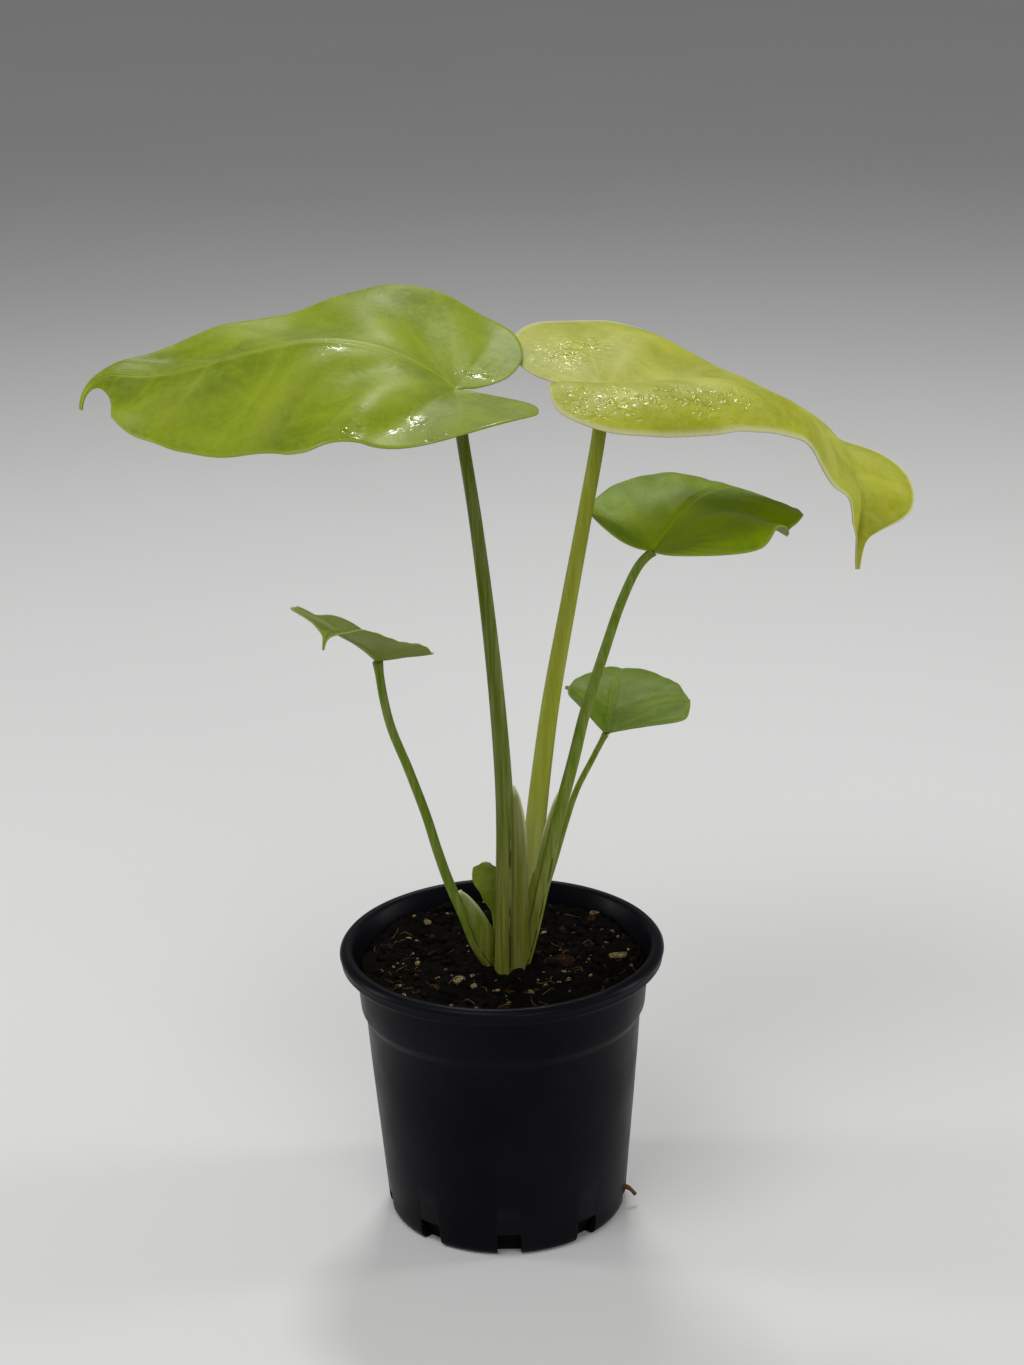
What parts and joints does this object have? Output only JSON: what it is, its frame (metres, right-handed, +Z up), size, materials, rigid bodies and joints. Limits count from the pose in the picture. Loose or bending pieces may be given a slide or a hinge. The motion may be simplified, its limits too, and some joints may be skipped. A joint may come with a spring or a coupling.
{
  "type": "potted monstera plant",
  "caption": "Young golden-leaved monstera with heart-shaped leaves on sheathed stalks in a black plastic nursery pot",
  "frame": {"origin": "centre of the pot's flat underside", "axes": "+Z up through the plant; +X to the right of the picture, towards the golden leaf; -Y towards the viewer of the picture"},
  "size_m": [0.2733, 0.1317, 0.312],
  "materials": {
    "pot_plastic": "satin moulded black",
    "soil_mix": "loose dark potting mix with perlite",
    "root_fibre": "matte root skin",
    "stalk_green": "smooth waxy skin",
    "stalk_pale": "smooth waxy skin",
    "leaf_lime": "glossy waxy leaf",
    "leaf_golden": "glossy waxy leaf",
    "leaf_green": "satin waxy leaf",
    "leaf_young": "satin waxy leaf"
  },
  "bodies": {
    "root": {"pot": "pot_plastic", "soil": "soil_mix", "crown": "root_fibre", "stalk_great_left": "stalk_green", "stalk_great_right": "stalk_pale", "stalk_middle_right": "stalk_green", "stalk_small_right": "stalk_green", "stalk_small_left": "stalk_green", "first_leaf": "leaf_young", "blade_great_left": "leaf_lime", "blade_great_right": "leaf_golden", "blade_middle_right": "leaf_green", "blade_small_right": "leaf_green", "blade_small_left": "leaf_young"}
  },
  "joints": []
}
